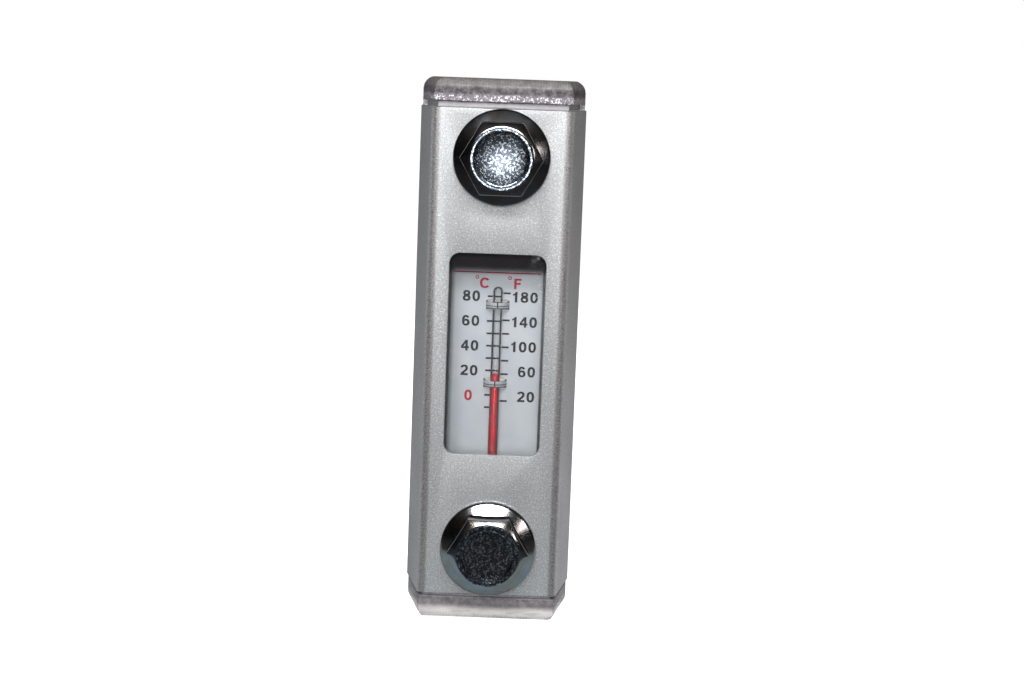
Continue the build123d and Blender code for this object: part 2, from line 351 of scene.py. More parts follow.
def clearGlass():
    # clear with a darker outline, and a painted shadow where a clip lies over it
    f = Finish("clearGlass")
    normal = f.bump(f.grain(glass["ripple"], 2.0), 0.15, glass["relief"])
    edge = f.add("ShaderNodeLayerWeight", sockets={"Blend": 0.45, "Normal": normal}, output="Facing")
    z = f.axes()[2]
    # painted shadow: the glass is dark and dull under each clip
    upper, lower = (abs(z - clip) < enamel["clipReach"] for clip in enamel["clips"])
    under = upper + lower
    body = f.surface(
        baseColor=f.tint(under, glass["tint"], glass["paintedClipShadow"]),
        alpha=f.step(edge, 0.60, 1.0, 0.03, 0.30) * (1 - under) + under * 0.8,
        roughness=glass["roughness"],
        specularIorLevel=0.0,
        normal=normal,
    )
    return f.done(f.glazed(body, normal, glass["density"], glass["glossRoughness"], 1 - under))


def scaleEnamel():
    # pale enamel, with painted shade on the raised clips and painted shadow along their feet and their up-
    # and down-facing sides
    f = Finish("scaleEnamel")
    x, y, z = f.axes()
    cloud = f.grain(enamel["cloud"], 3.0, 0.6)
    fine = f.grain(enamel["grain"], 2.0)
    shade = f.tint(f.step(cloud, 0.3, 0.7), enamel["colour"], enamel["light"])
    shade = f.tint(f.step(fine, 0.35, 0.75, 0.0, 0.10), shade, enamel["fleck"])
    facing = f.add("ShaderNodeNewGeometry", output="Normal")
    upDown = f.add("ShaderNodeSeparateXYZ", sockets={0: facing}, output=2)
    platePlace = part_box("header_rule")[1].y
    raised = f.step(y, platePlace - 0.00002, platePlace - 0.00006)
    upper, lower = enamel["clips"]
    onClip = z - upper + (z < 0.0) * (upper - lower)
    # painted shade: the raised clips are greyed, most on their lower half
    shade = f.tint(raised * f.step(onClip, 0.0006, -0.0001, 0.45, 1.0), shade, enamel["clipShade"])
    stroke = abs(onClip + enamel["strokeOff"]) < enamel["strokeHalf"]  # the stroke printed across each clip
    shade = f.tint(raised * stroke, shade, enamel["edge"])
    # painted shadow under each clip's foot, and painted shade on its faces that look up or down
    shade = f.tint(raised * (onClip < enamel["clipFoot"]), shade, enamel["edge"])
    shade = f.tint((abs(upDown) > 0.25) * raised, shade, enamel["edge"])
    # the plate lies deep under the window, and painted shadow keeps its upper and left margins dark
    shade = f.tint(f.step(z, enamel["shadowFrom"], enamel["shadowTo"], 0.0, 0.93), shade, enamel["shadow"])
    shade = f.tint(f.step(x, enamel["sideFrom"], enamel["sideTo"], 0.0, 0.5), shade, enamel["shadow"])
    rough = f.step(fine, 0.3, 0.7, 0.38, 0.52)
    return f.done(f.surface(baseColor=shade, roughness=rough, normal=f.bump(fine, 0.2, enamel["relief"])))


inks = dict(
    grain=0.00035, relief=0.00001, black=(0.012, 0.013, 0.018), wornBlack=(0.06, 0.065, 0.08),
    red=(0.40, 0.010, 0.030), wornRed=(0.45, 0.06, 0.08),
)


def ink(name, colour, worn):
    f = Finish(name)
    fine = f.grain(inks["grain"], 3.0, 0.6)
    shade = f.tint(f.step(fine, 0.55, 0.85, 0.0, 0.4), colour, worn)
    rough = f.step(fine, 0.3, 0.7, 0.35, 0.55)
    return f.done(f.surface(baseColor=shade, roughness=rough, normal=f.bump(fine, 0.2, inks["relief"])))


spirit = dict(cloud=0.0022, colour=(0.60, 0.006, 0.020), deep=(0.40, 0.004, 0.016))


def redSpirit():
    f = Finish("redSpirit")
    cloud = f.grain(spirit["cloud"], 2.0)
    shade = f.tint(f.step(cloud, 0.4, 0.65), spirit["colour"], spirit["deep"])
    rough = f.step(cloud, 0.3, 0.7, 0.30, 0.42)
    return f.done(f.surface(baseColor=shade, roughness=rough, coatWeight=0.1, coatRoughness=0.2))


rubber = dict(
    grain=0.0003, cloud=0.003, relief=0.00003, colour=(0.018, 0.018, 0.019), worn=(0.034, 0.034, 0.036)
)


def sealRubber():
    f = Finish("sealRubber")
    fine = f.grain(rubber["grain"], 3.0, 0.6)
    cloud = f.grain(rubber["cloud"], 2.0)
    shade = f.tint(f.step(cloud, 0.3, 0.7), rubber["colour"], rubber["worn"])
    rough = f.step(fine, 0.3, 0.7, 0.45, 0.65)
    return f.done(f.surface(baseColor=shade, roughness=rough, normal=f.bump(fine, 0.3, rubber["relief"])))


finishes = {
    "cover": blastedAluminium(),
    "bolt": brightZinc(),
    "clear_moulding": clearMoulding(),
    "tube_glass": clearGlass(),
    "scale": scaleEnamel(),
    "black_print": ink("blackInk", inks["black"], inks["wornBlack"]),
    "red_print": ink("redInk", inks["red"], inks["wornRed"]),
    "red_spirit": redSpirit(),
    "seal": sealRubber(),
}
slotOf = {part["node"]: part["material_slot"] for part in frame["record"]["subparts"]}
for nodeName, node in nodes.items():
    node.data.materials.clear()
    node.data.materials.append(finishes[slotOf[nodeName]])
print("finishes made:", len(finishes))


# meshes

def linked(name, mesh):
    piece = bpy.data.objects.new(name, mesh)
    bpy.context.scene.collection.objects.link(piece)
    return piece


def madePlain(piece):
    # what the modifiers give becomes the piece's own mesh
    graph = bpy.context.evaluated_depsgraph_get()
    plain = bpy.data.meshes.new_from_object(piece.evaluated_get(graph))
    piece.modifiers.clear()
    piece.data = plain
    return piece


def shaded(piece, sharp=28.0):
    piece.data.shade_smooth()
    piece.data.set_sharp_from_angle(angle=math.radians(sharp))
    return piece


def placed(piece, slot, replaced=()):
    if not piece.data.materials:
        piece.data.materials.append(finishes[slot])
    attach(piece, "root")
    if replaced:
        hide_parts(*replaced)
    return piece


weld = dict(near=0.000002, flatWithin=0.6)


def mergedCopy(nodeName, pieceName):
    # the solid's own mesh as a new piece, its points joined and its flat faces whole
    mesh = nodes[nodeName].data.copy()
    mesh.name = pieceName
    if "custom_normal" in mesh.attributes:
        mesh.attributes.remove(mesh.attributes["custom_normal"])
    work = bmesh.new()
    work.from_mesh(mesh)
    bmesh.ops.remove_doubles(work, verts=work.verts, dist=weld["near"])
    flat = math.radians(weld["flatWithin"])
    bmesh.ops.dissolve_limit(work, angle_limit=flat, verts=work.verts, edges=work.edges)
    bmesh.ops.recalc_face_normals(work, faces=work.faces)
    work.to_mesh(mesh)
    work.free()
    return linked(pieceName, mesh)


def rounded(piece, width, sharp, segments=3):
    bevel = piece.modifiers.new("roundedEdges", "BEVEL")
    bevel.limit_method = "ANGLE"
    bevel.angle_limit = math.radians(sharp)
    bevel.width = width
    bevel.segments = segments
    bevel.use_clamp_overlap = True
    return shaded(madePlain(piece))


def softened(piece, chosen, width, segments):
    # rounds only the edges that are chosen by their two ends
    work = bmesh.new()
    work.from_mesh(piece.data)
    edges = [
        edge for edge in work.edges
        if edge.is_manifold and edge.calc_face_angle(0.0) > 0.35
        and chosen(edge.verts[0].co, edge.verts[1].co)
    ]
    bmesh.ops.bevel(
        work, geom=edges, offset=width, offset_type="OFFSET", segments=segments,
        profile=0.5, affect="EDGES", clamp_overlap=True,
    )
    work.to_mesh(piece.data)
    work.free()
    print(piece.name, "edges softened:", len(edges))
    return piece


def lathed(name, profile, centre, turns=64):
    # a closed shape of revolution about an upright line; the profile is (radius, height) from foot to tip
    work = bmesh.new()
    rings = []
    for radius, height in profile:
        if radius < 1e-9:
            rings.append([work.verts.new((centre[0], centre[1], height))])
            continue
        ring = []
        for turn in range(turns):
            angle = 2 * math.pi * turn / turns
            across, deep = radius * math.cos(angle), radius * math.sin(angle)
            ring.append(work.verts.new((centre[0] + across, centre[1] + deep, height)))
        rings.append(ring)
    for lower, upper in zip(rings, rings[1:]):
        for turn in range(turns):
            after = (turn + 1) % turns
            ends = ((lower, turn), (lower, after), (upper, after), (upper, turn))
            corners = [ring[step % len(ring)] for ring, step in ends]
            corners = list(dict.fromkeys(corners))
            if len(corners) > 2:
                work.faces.new(corners)
    bmesh.ops.recalc_face_normals(work, faces=work.faces)
    mesh = bpy.data.meshes.new(name)
    work.to_mesh(mesh)
    work.free()
    return linked(name, mesh)


cover = dict(edge=0.00014, sharp=40.0)
coverCopy = mergedCopy("front_cover", "coverShell")
coverPiece = placed(rounded(coverCopy, cover["edge"], cover["sharp"]), "cover", ["front_cover"])
print("cover rounded:", len(coverPiece.data.polygons))


# scale plate: the strips of its arched clips are narrower than the solid's

strips = dict(standOff=0.0002, narrowing=0.70)
platePiece = mergedCopy("scale_plate", "scalePlate")
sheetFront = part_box("header_rule")[1].y
for vertex in platePiece.data.vertices:
    if vertex.co.y < sheetFront - strips["standOff"]:
        clip = enamel["clips"][0] if vertex.co.z > 0 else enamel["clips"][1]
        vertex.co.z = clip + (vertex.co.z - clip) * strips["narrowing"]
placed(shaded(platePiece, 30.0), "scale", ["scale_plate"])
print("clips narrowed")


# clear body: its end blocks have soft edges, and the upper end has wide round corners

block = dict(corner=0.0006, endFrom=0.0503, frontOf=-0.004, shoulder=0.0026, near=0.0002, cuts=(0.0, 0.4))


def onBlock(first, second):
    return all(abs(end.z) > block["endFrom"] and end.y < block["frontOf"] for end in (first, second))


def shouldered(piece):
    # draws the corners of the upper end in to a wide arc
    points = [vertex.co for vertex in piece.data.vertices if vertex.co.z > block["endFrom"]]
    top = max(point.z for point in points)
    wide = max(point.x for point in points)
    front = min(point.y for point in points)
    narrow = max(point.x for point in points if point.y < front + block["near"])
    turnFrom = min(point.y for point in points if point.x > wide - 0.00001)
    arc = block["shoulder"]
    work = bmesh.new()
    work.from_mesh(piece.data)
    for share in block["cuts"]:
        parts = work.verts[:] + work.edges[:] + work.faces[:]
        level = (0.0, 0.0, top - arc * (1 - share))
        bmesh.ops.bisect_plane(work, geom=parts, plane_co=level, plane_no=(0.0, 0.0, 1.0))
    for vertex in work.verts:
        spot = vertex.co
        share = max((turnFrom - spot.y) / (turnFrom - front), 0.0) if front < turnFrom else 0.0
        edge = wide + (narrow - wide) * share
        across, up = abs(spot.x) - (edge - arc), spot.z - (top - arc)
        reach = math.hypot(across, up)
        if across > 0.0 and up > 0.0 and reach > arc:
            spot.x = math.copysign(edge - arc + across * arc / reach, spot.x)
            spot.z = top - arc + up * arc / reach
    work.to_mesh(piece.data)
    work.free()
    return piece


bodyPiece = softened(shouldered(mergedCopy("sight_body", "clearBody")), onBlock, block["corner"], 4)
placed(shaded(bodyPiece, 30.0), "clear_moulding", ["sight_body"])
backPiece = shouldered(mergedCopy("back_plate", "clearBack"))
placed(shaded(backPiece, 30.0), "clear_moulding", ["back_plate"])
print("clear body rounded")


# bolts: a rounded head and a real thread on each

bolt = dict(
    core=0.00421, root=0.00424, crest=0.005, pitch=0.0015, turns=10.6, start=0.0012, steps=40, fadeTurns=0.8,
    ridgeFoot=0.375, ridgeFlank=0.3125, across=17, studFrom=-0.0001, shankReach=0.0046,
    flat=0.00725, corner=0.0003, top=0.0074, face=0.00635, slope=math.tan(math.radians(30)),
    dish=0.0053, dishDeep=0.00035, rim=0.0098, rimTall=0.0011, merge=0.00685, coneTop=0.0026, soft=0.00014,
    neck=0.0044, neckDeep=0.0002, seat=-0.024, cut=0.00005, flatSteps=36, cornerSteps=7,
)


def shoulderAt(radius):
    # the height of the slope that cuts the hexagon's corners
    return bolt["top"] - (radius - bolt["face"]) * bolt["slope"]


def coneAt(radius):
    # the height of the flange's slope
    fall = (bolt["coneTop"] - bolt["rimTall"]) / (bolt["rim"] - bolt["merge"])
    return bolt["rimTall"] + (bolt["rim"] - radius) * fall


def headOutline(reach):
    # (radius, height above the seat) from the middle of the face to the neck, where the hexagon is at reach
    top, face, rim, rimTall, soft = (bolt[key] for key in ("top", "face", "rim", "rimTall", "soft"))
    dish, deep, neck = bolt["dish"], bolt["dishDeep"], bolt["neck"]
    return [
        (0.0, top - deep),
        (dish - deep - soft, top - deep),
        (dish - deep * 0.75, top - deep * 0.85),
        (dish - soft * 0.6, top - soft * 0.7),
        (dish + soft, top),
        (face - soft * 2.0, top),
        (face - soft * 0.8, top - soft * 0.12),
        (face + soft * 0.5, shoulderAt(face + soft * 0.5) - soft * 0.1),
        (face + soft * 2.0, shoulderAt(face + soft * 2.0)),
        (reach - soft * 1.6, shoulderAt(reach - soft * 1.6)),
        (reach - soft * 0.5, shoulderAt(reach - soft * 0.5) - soft * 0.25),
        (reach, shoulderAt(reach) - soft * 1.3),
        (reach, coneAt(reach)),
        (rim - soft * 3.0, coneAt(rim - soft * 3.0)),
        (rim - soft * 1.2, coneAt(rim - soft * 1.2) - soft * 0.2),
        (rim - soft * 0.25, rimTall - soft * 0.8),
        (rim, rimTall - soft * 2.0),
        (rim, soft * 1.5),
        (rim - soft * 0.4, soft * 0.4),
        (rim - soft * 1.5, 0.0),
        (neck, 0.0),
        (neck, -bolt["neckDeep"]),
        (0.0, -bolt["neckDeep"]),
    ]


def headRings():
    # (angle, outline) at each turn round the head; the hexagon's corners are small arcs
    flat, corner = bolt["flat"], bolt["corner"]
    middle = (flat - corner) / math.cos(math.radians(30))
    handover = math.degrees(math.atan((flat - corner) * math.tan(math.radians(30)) / flat))
    flatSteps, cornerSteps = bolt["flatSteps"], bolt["cornerSteps"]
    swings = [-handover + 2 * handover * step / flatSteps for step in range(flatSteps + 1)]
    swings += [handover + 2 * (30 - handover) * step / cornerSteps for step in range(1, cornerSteps)]
    rings = []
    for side in range(6):
        for swing in swings:
            if swing <= handover:
                reach = flat / math.cos(math.radians(swing))
            else:
                bend = math.radians(30 - swing)
                reach = middle * math.cos(bend) + math.sqrt(corner ** 2 - (middle * math.sin(bend)) ** 2)
            rings.append((60 * side + swing + 90, headOutline(reach)))
    return rings


def addHead(piece, height):
    # cuts the plain head off the copy and builds the rounded one on the same stem
    work = bmesh.new()
    work.from_mesh(piece.data)
    everything = work.verts[:] + work.edges[:] + work.faces[:]
    level = (0.0, bolt["seat"] + bolt["cut"], 0.0)
    bmesh.ops.bisect_plane(work, geom=everything, plane_co=level, plane_no=(0.0, -1.0, 0.0), clear_outer=True)
    bmesh.ops.holes_fill(work, edges=[edge for edge in work.edges if edge.is_boundary], sides=0)
    columns = []
    for angle, outline in headRings():
        across, up = math.cos(math.radians(angle)), math.sin(math.radians(angle))
        columns.append([
            work.verts.new((reach * across, bolt["seat"] - tall, height + reach * up))
            for reach, tall in outline
        ])
    for here, after in zip(columns, columns[1:] + columns[:1]):
        for step in range(len(here) - 1):
            work.faces.new((here[step], after[step], after[step + 1], here[step + 1]))
    bmesh.ops.remove_doubles(work, verts=[point for column in columns for point in column], dist=2e-7)
    bmesh.ops.recalc_face_normals(work, faces=work.faces)
    work.to_mesh(piece.data)
    work.free()
    return piece


def threadTree():
    # one helical sheet that goes round the stud, its ridge dying out at both ends
    group = bpy.data.node_groups.new("threadTurns", "GeometryNodeTree")
    for name in ("Pitch", "Turns", "Root Radius", "Crest Radius", "Start", "Stud Height"):
        group.interface.new_socket(name, in_out="INPUT", socket_type="NodeSocketFloat")
    group.interface.new_socket("Steps Per Turn", in_out="INPUT", socket_type="NodeSocketInt")
    group.interface.new_socket("Finish", in_out="INPUT", socket_type="NodeSocketMaterial")
    group.interface.new_socket("Geometry", in_out="OUTPUT", socket_type="NodeSocketGeometry")
    t = Tree(group)
    given = group.nodes.new("NodeGroupInput")
    pitch, turns, root, crest, start, tall, steps, finish = [Wire(t, given.outputs[i]) for i in range(8)]
    along = turns * steps
    sheet = {"Size X": 1.0, "Size Y": 1.0, "Vertices X": along, "Vertices Y": bolt["across"]}
    grid = t.add("GeometryNodeMeshGrid", sockets=sheet)
    spot = t.add("GeometryNodeInputPosition")
    outputs = t.add("ShaderNodeSeparateXYZ", sockets={0: spot}).socket.node.outputs
    u = Wire(t, outputs[0]) + 0.5
    v = Wire(t, outputs[1])
    flank = (bolt["ridgeFoot"] - abs(v)) / bolt["ridgeFlank"]
    ridge = flank.least(1.0).most(0.0)
    fade = (u * turns / bolt["fadeTurns"]).least((1 - u) * turns / bolt["fadeTurns"]).least(1.0)
    radius = root + (crest - root) * ridge * fade
    angle = u * turns * (2 * math.pi)
    sine = t.add("ShaderNodeMath", {"operation": "SINE"}, {0: angle})
    cosine = t.add("ShaderNodeMath", {"operation": "COSINE"}, {0: angle})
    spiral = {0: radius * sine, 1: start + pitch * turns * u + pitch * v, 2: tall + radius * cosine}
    where = t.add("ShaderNodeCombineXYZ", sockets=spiral)
    moved = t.add("GeometryNodeSetPosition", sockets={"Geometry": grid, "Position": where})
    real = t.add("GeometryNodeRealizeInstances", sockets={0: moved})
    painted = t.add("GeometryNodeSetMaterial", sockets={"Geometry": real, "Material": finish})
    t.add("NodeGroupOutput", sockets={0: painted})
    return group


def grown(name, group, values):
    # an object whose mesh is what the tree gives for these named values
    piece = linked(name, bpy.data.meshes.new(name))
    maker = piece.modifiers.new("maker", "NODES")
    maker.node_group = group
    for item in group.interface.items_tree:
        if item.item_type == "SOCKET" and item.in_out == "INPUT" and item.name in values:
            maker[item.identifier] = values[item.name]
    return madePlain(piece)


def facingOut(piece, axisPoint):
    # turns the faces round if they point at the stud's middle line
    face = piece.data.polygons[len(piece.data.polygons) // 2]
    away = face.center - Vector((axisPoint[0], face.center.y, axisPoint[1]))
    if face.normal.dot(away) < 0:
        piece.data.flip_normals()
    return piece


threads = threadTree()
for place in ("upper", "lower"):
    low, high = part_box(f"{place}_bolt")
    height = (low.z + high.z) / 2
    piece = mergedCopy(f"{place}_bolt", f"{place}BoltBody")
    for vertex in piece.data.vertices:
        reach = math.hypot(vertex.co.x, vertex.co.z - height)
        if vertex.co.y > bolt["studFrom"] and reach > bolt["shankReach"]:
            shrink = bolt["core"] / reach
            vertex.co.x *= shrink
            vertex.co.z = height + (vertex.co.z - height) * shrink
    placed(shaded(addHead(piece, height), 24.0), "bolt", [f"{place}_bolt"])
    values = {
        "Pitch": bolt["pitch"],
        "Turns": bolt["turns"],
        "Root Radius": bolt["root"],
        "Crest Radius": bolt["crest"],
        "Start": bolt["start"],
        "Stud Height": height,
        "Steps Per Turn": bolt["steps"],
        "Finish": finishes["bolt"],
    }
    thread = facingOut(grown(f"{place}BoltThread", threads, values), (0.0, height))
    placed(shaded(thread, 40.0), "bolt")
print("bolts headed and threaded")


# seals: round rings inside the square-section ones

seal = dict(around=96, across=24)


def sealRing(nodeName, pieceName):
    low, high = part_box(nodeName)
    section = (high.y - low.y) / 2
    radius = (high.x - low.x) / 2 - section
    centre = (low + high) / 2
    work = bmesh.new()
    around, across = seal["around"], seal["across"]
    rows = []
    for turn in range(around):
        angle = 2 * math.pi * turn / around
        row = []
        for step in range(across):
            swing = 2 * math.pi * step / across
            reach = radius + section * math.cos(swing)
            offset = Vector((reach * math.cos(angle), section * math.sin(swing), reach * math.sin(angle)))
            row.append(work.verts.new(centre + offset))
        rows.append(row)
    for turn in range(around):
        here, after = rows[turn], rows[(turn + 1) % around]
        for step in range(across):
            up = (step + 1) % across
            work.faces.new((here[step], after[step], after[up], here[up]))
    bmesh.ops.recalc_face_normals(work, faces=work.faces)
    mesh = bpy.data.meshes.new(pieceName)
    work.to_mesh(mesh)
    work.free()
    piece = linked(pieceName, mesh)
    return placed(shaded(piece), "seal", [nodeName])


for place in ("upper", "lower"):
    for side in ("head", "tank"):
        sealRing(f"{place}_{side}_seal", f"{place}{side.capitalize()}Ring")
print("seals rounded")


# thermometer: the glass magnifies the column, so it is drawn wider than its bore

tube = dict(tipSteps=8, sharp=60.0)
turned = dict(
    thermometer_glass=dict(
        piece="thermometerTube", slot="tube_glass", stem=0.001, neckFrom=0.0030, neckTo=0.0042,
        footRound=0.0012,
    ),
    thermometer_spirit=dict(
        piece="thermometerColumn", slot="red_spirit", stem=0.00088, neckFrom=0.0028, neckTo=0.0038,
        footRound=0.0010,
    ),
)


def tubeProfile(low, high, radius, bulb, neckFrom, neckTo, bulbRound):
    # foot of the bulb, its wall, the neck, the stem, and a round tip
    profile = [(0.0, low)]
    for step in range(1, tube["tipSteps"] + 1):
        angle = math.pi / 2 * step / tube["tipSteps"]
        across, up = bulbRound * math.sin(angle), bulbRound * math.cos(angle)
        profile.append((bulb - bulbRound + across, low + bulbRound - up))
    for step in range(tube["tipSteps"] + 1):
        share = step / tube["tipSteps"]
        ease = (1 - math.cos(math.pi * share)) / 2
        profile.append((bulb + (radius - bulb) * ease, neckFrom + (neckTo - neckFrom) * share))
    for step in range(1, tube["tipSteps"] + 1):
        angle = math.pi / 2 * step / tube["tipSteps"]
        profile.append((max(radius * math.cos(angle), 0.0), high - radius + radius * math.sin(angle)))
    profile[-1] = (0.0, high)
    return profile


glassLow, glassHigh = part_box("thermometer_glass")
tubeCentre = ((glassLow.x + glassHigh.x) / 2, (glassLow.y + glassHigh.y) / 2)
for nodeName, form in turned.items():
    low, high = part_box(nodeName)
    neck = (low.z + form["neckFrom"], low.z + form["neckTo"])
    profile = tubeProfile(low.z, high.z, form["stem"], (high.x - low.x) / 2, *neck, form["footRound"])
    placed(shaded(lathed(form["piece"], profile, tubeCentre), tube["sharp"]), form["slot"], [nodeName])
print("thermometer turned")


# printed figures

figures = dict(
    width=0.00150, advance=0.00197, thickness=0.00002, lift=0.000028, oneShift=0.0001, unit=0.001,
    rows=(0.01114, 0.00598, 0.00080, -0.00438, -0.00960),
    celsius=("80", "60", "40", "20", "0"), celsiusCentre=-0.00527,
    fahrenheit=("180", "140", "100", "60", "20"), fahrenheitRight=0.0084,
    letters=(("C", -0.00263), ("F", 0.00417)), letterHeight=0.01389,
    degrees=(-0.00419, 0.00255), degreeHeight=0.01505,
)
glyphs = {}
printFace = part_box("header_rule")[0].y  # the front of the ink on the plate


def arc(centre, size, first, last, steps=20, square=2.35):
    # points on a squarish oval from one angle to another, in degrees
    points = []
    for step in range(steps + 1):
        angle = math.radians(first + (last - first) * step / steps)
        across, up = math.cos(angle), math.sin(angle)
        points.append((
            centre[0] + size[0] * math.copysign(abs(across) ** (2 / square), across),
            centre[1] + size[1] * math.copysign(abs(up) ** (2 / square), up),
        ))
    return points


def oval(centre, size):
    return arc(centre, size, 0, 345, 23)


# outlines in millimetres about each figure's middle, the first loop outside and the others its holes
outlines = {
    "0": [oval((0, 0), (0.79, 1.11)), oval((0, 0), (0.29, 0.68))],
    "1": [[
        (0.40, -1.09), (0.40, 1.09), (0.02, 1.09), (-0.06, 0.88), (-0.24, 0.73),
        (-0.52, 0.64), (-0.52, 0.28), (-0.12, 0.38), (-0.12, -1.09),
    ]],
    "2": [
        arc((0, 0.43), (0.77, 0.67), 172, -32)
        + [(0.40, -0.26), (0.08, -0.54), (-0.04, -0.67), (0.77, -0.67), (0.77, -1.10)]
        + [(-0.80, -1.10), (-0.77, -0.86), (-0.60, -0.56), (-0.28, -0.26), (0.06, 0.02)]
        + arc((0, 0.43), (0.27, 0.27), -32, 172)
    ],
    "4": [
        [
            (0.08, 1.10), (0.56, 1.10), (0.56, -0.22), (0.82, -0.22), (0.82, -0.63), (0.56, -0.63),
            (0.56, -1.10), (0.08, -1.10), (0.08, -0.63), (-0.82, -0.63), (-0.82, -0.20),
        ],
        [(0.08, 0.40), (0.08, -0.22), (-0.32, -0.22)],
    ],
    "6": [
        arc((0, 0), (0.79, 1.11), 32, 262) + arc((0, -0.39), (0.79, 0.72), 278, 478)
        + arc((0, 0), (0.29, 0.70), 165, 40),
        oval((0, -0.40), (0.29, 0.32)),
    ],
    "8": [
        arc((0, -0.47), (0.80, 0.64), 138, 402, 26) + arc((0, 0.54), (0.72, 0.57), -38, 218, 26),
        oval((0, 0.55), (0.26, 0.18)), oval((0, -0.48), (0.31, 0.23)),
    ],
    "C": [arc((0.05, 0), (1.04, 1.10), 33, 327, 30) + arc((0.05, 0), (0.53, 0.68), 322, 38, 30)],
    "F": [[
        (-0.72, -1.10), (-0.72, 1.10), (0.78, 1.10), (0.78, 0.69), (-0.22, 0.69),
        (-0.22, 0.24), (0.62, 0.24), (0.62, -0.17), (-0.22, -0.17), (-0.22, -1.10),
    ]],
    "ring": [oval((0, 0), (0.375, 0.375)), oval((0, 0), (0.19, 0.19))],
}


def glyph(letter):
    # one figure as a flat closed mesh
    if letter in glyphs:
        return glyphs[letter]
    curve = bpy.data.curves.new("figure" + letter, "CURVE")
    curve.dimensions = "2D"
    curve.fill_mode = "BOTH"
    curve.extrude = figures["thickness"] / 2
    for loop in outlines[letter]:
        spline = curve.splines.new("POLY")
        spline.points.add(len(loop) - 1)
        for point, (across, up) in zip(spline.points, loop):
            point.co = (across * figures["unit"], up * figures["unit"], 0.0, 1.0)
        spline.use_cyclic_u = True
    holder = linked("figure" + letter, curve)
    graph = bpy.context.evaluated_depsgraph_get()
    graph.update()
    glyphs[letter] = bpy.data.meshes.new_from_object(holder.evaluated_get(graph))
    bpy.data.objects.remove(holder)
    return glyphs[letter]


def printed(name, marks, slot):
    # each mark is (letter, x, z)
    work = bmesh.new()
    turn = Matrix.Rotation(math.radians(90), 4, "X")
    for letter, x, z in marks:
        copy = glyph(letter).copy()
        copy.transform(Matrix.Translation((x, printFace + figures["lift"], z)) @ turn)
        work.from_mesh(copy)
        bpy.data.meshes.remove(copy)
    bmesh.ops.remove_doubles(work, verts=work.verts, dist=1e-7)
    bmesh.ops.recalc_face_normals(work, faces=work.faces)
    mesh = bpy.data.meshes.new(name)
    work.to_mesh(mesh)
    work.free()
    return placed(linked(name, mesh), slot)


def figureMarks(text, rightEdge, z):
    # a number's figures, set from its right edge
    marks = []
    for back, letter in enumerate(reversed(text)):
        centre = rightEdge - figures["width"] / 2 - back * figures["advance"]
        marks.append((letter, centre + (figures["oneShift"] if letter == "1" else 0.0), z))
    return marks


celsiusMarks, fahrenheitMarks, redMarks = [], [], []
for row, left, right in zip(figures["rows"], figures["celsius"], figures["fahrenheit"]):
    span = figures["width"] + (len(left) - 1) * figures["advance"]
    marks = figureMarks(left, figures["celsiusCentre"] + span / 2, row)
    if left == "0":
        redMarks += marks
    else:
        celsiusMarks += marks
    fahrenheitMarks += figureMarks(right, figures["fahrenheitRight"], row)
redMarks += [(letter, x, figures["letterHeight"]) for letter, x in figures["letters"]]
redMarks += [("ring", x, figures["degreeHeight"]) for x in figures["degrees"]]
printed("celsiusFigures", celsiusMarks, "black_print")
printed("fahrenheitFigures", fahrenheitMarks, "black_print")
printed("redFigures", redMarks, "red_print")
print("figures printed:", len(celsiusMarks) + len(fahrenheitMarks) + len(redMarks))


# studio: floor, world, lights, and dark cards that only reflections see

studio = dict(
    ahead=0.010, flank=0.16, warm=(0.30, 0.25, 0.235), cool=(0.27, 0.28, 0.29),
    floorDrop=0.0002, cardLift=0.0002, cloud=0.25, cardRoughness=0.8,
)
cards = dict(
    paleFloor=dict(x=(-6.0, 6.0), y=(-6.0, 6.0), colour=(1.0, 1.0, 1.0), glow=1.0, seen=True),
    greyCard=dict(x=(-0.12, 0.12), y=(-0.052, -0.026), colour=(0.10, 0.13, 0.14), glow=1.0, seen=False),
    blackCard=dict(x=(-0.9, 0.9), y=(-1.4, -0.0525), colour=(0.004, 0.004, 0.005), glow=0.2, seen=False),
)


def card(name, x, y, colour, glow, seen):
    # a flat sheet that either the camera sees or only reflections do
    level = cadBox[0].z + (-studio["floorDrop"] if seen else studio["cardLift"])
    corners = [(x[0], y[0], level), (x[1], y[0], level), (x[1], y[1], level), (x[0], y[1], level)]
    mesh = bpy.data.meshes.new(name)
    mesh.from_pydata(corners, [], [(0, 1, 2, 3)])
    piece = linked(name, mesh)
    f = Finish(name)
    lighter = tuple(min(part * 1.1, 1.0) for part in colour)
    shade = f.tint(f.step(f.grain(studio["cloud"], 2.0), 0.3, 0.7), colour, lighter)
    rough = studio["cardRoughness"]
    paper = f.surface(baseColor=shade, roughness=rough, emissionColor=colour, emissionStrength=glow)
    mesh.materials.append(f.done(paper))
    piece.visible_camera = seen
    for ray in ("visible_diffuse", "visible_transmission", "visible_volume_scatter"):
        setattr(piece, ray, False)
    piece.visible_glossy = not seen
    piece.visible_shadow = False
    return piece


for name, form in cards.items():
    card(name, **form)

world = bpy.data.worlds.new("studioWorld")
bpy.context.scene.world = world
world.use_nodes = True
world.node_tree.nodes.clear()
w = Tree(world.node_tree)
way = w.add("ShaderNodeTexCoord", output="Generated")
wayOutputs = w.add("ShaderNodeSeparateXYZ", sockets={0: way}).socket.node.outputs
side, deep, rise = [Wire(w, wayOutputs[axis]) for axis in range(3)]


def ramped(value, low, high, first, last):
    # the studio's grey walls change smoothly with direction
    limits = {"Value": value, "From Min": low, "From Max": high, "To Min": first, "To Max": last}
    return w.add("ShaderNodeMapRange", {"interpolation_type": "SMOOTHSTEP"}, limits)


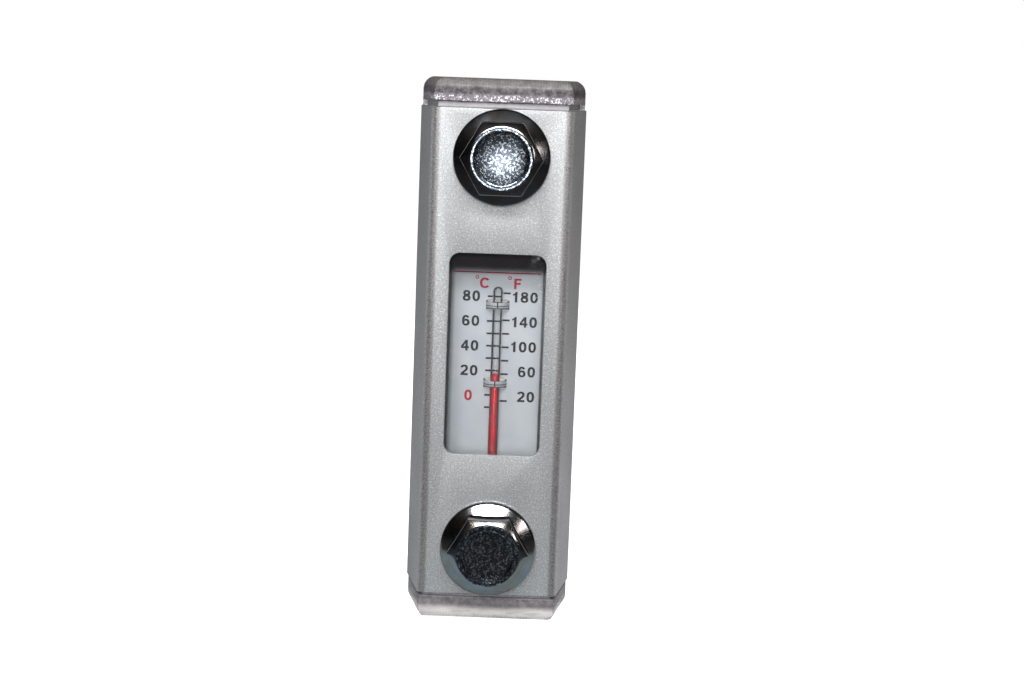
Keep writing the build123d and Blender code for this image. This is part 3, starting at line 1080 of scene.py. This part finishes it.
behind = ramped(deep, -0.15, 0.45, studio["ahead"], 1.0)
rightward = side * 0.5 + 0.5
lower = ramped(rise, 0.02, -0.24, 0.0, 1.0)
flank = ramped(abs(side), 0.35, 0.65, 0.0, 1.0) * lower * studio["flank"]
right = rightward * (0.20 + 2.6 * lower)
left = (1 - rightward) * (0.62 + 0.60 * lower)
walls = {"Factor": rightward * (1 - 0.8 * lower), 6: (*studio["cool"], 1.0), 7: (*studio["warm"], 1.0)}
hue = w.add("ShaderNodeMix", {"data_type": "RGBA"}, walls, output=2)
seen = w.add("ShaderNodeBackground", sockets={"Color": (1.0, 1.0, 1.0, 1.0), "Strength": 1.0})
felt = w.add("ShaderNodeBackground", sockets={"Color": hue, "Strength": behind * (right + left) + flank})
path = w.add("ShaderNodeLightPath", output="Is Camera Ray")
sky = w.add("ShaderNodeMixShader", sockets={0: path, 1: felt, 2: seen})
w.add("ShaderNodeOutputWorld", sockets={"Surface": sky})


softboxes = dict(
    keyLight=dict(place=(0.0, -0.320, 0.239), target=(0, -0.02, -0.01), size=(0.28, 0.06), watts=1.15),
    sideLight=dict(
        place=(0.300, -0.277, 0.100), target=(0, -0.02, 0), size=(0.035, 0.07), watts=0.050,
        colour=(1.0, 0.90, 0.88),
    ),
    headLight=dict(
        place=(-0.008, -0.470, 0.031), target=(0, -0.0314, 0.04), size=(0.068, 0.056), watts=0.0019,
        spread=22.0,
    ),
    fillLight=dict(
        place=(-0.08, -0.75, 0.10), target=(0, -0.02, -0.03), size=(0.55, 0.40), watts=4.9, glossy=False
    ),
    backLight=dict(place=(0.05, 0.45, 0.30), target=(0, 0, 0), size=(0.40, 0.30), watts=1.2, glossy=False),
)


def softbox(name, place, target, size, watts, colour=(1.0, 1.0, 1.0), glossy=True, spread=180.0):
    lamp = bpy.data.lights.new(name, "AREA")
    lamp.shape = "RECTANGLE"
    lamp.size, lamp.size_y = size
    lamp.energy = watts
    lamp.color = colour
    lamp.spread = math.radians(spread)
    piece = linked(name, lamp)
    piece.location = place
    aim = Vector(target) - Vector(place)
    piece.rotation_euler = aim.to_track_quat("-Z", "Y").to_euler()
    piece.visible_camera = False
    piece.visible_glossy = glossy
    piece.visible_transmission = False
    return piece


for name, form in softboxes.items():
    softbox(name, **form)
print("studio set")


# camera

shot = dict(
    place=(0.0023, -0.4453, 0.0582), aim=(0.0034, -0.0240, 0.0033), lens=73.67, lean=2.13,
    sensor=36.0, near=0.01, far=50.0,
)
camera = bpy.data.cameras.new("camera")
camera.lens = shot["lens"]
camera.sensor_width = shot["sensor"]
camera.clip_start = shot["near"]
camera.clip_end = shot["far"]
eye = linked("camera", camera)
gaze = (Vector(shot["aim"]) - Vector(shot["place"])).to_track_quat("-Z", "Y")
eye.location = shot["place"]
eye.rotation_euler = (gaze.to_matrix() @ Matrix.Rotation(math.radians(shot["lean"]), 3, "Z")).to_euler()
bpy.context.scene.camera = eye
bpy.context.scene.view_settings.view_transform = "Standard"
bpy.context.scene.view_settings.look = "None"
bpy.context.scene.cycles.transparent_max_bounces = 24
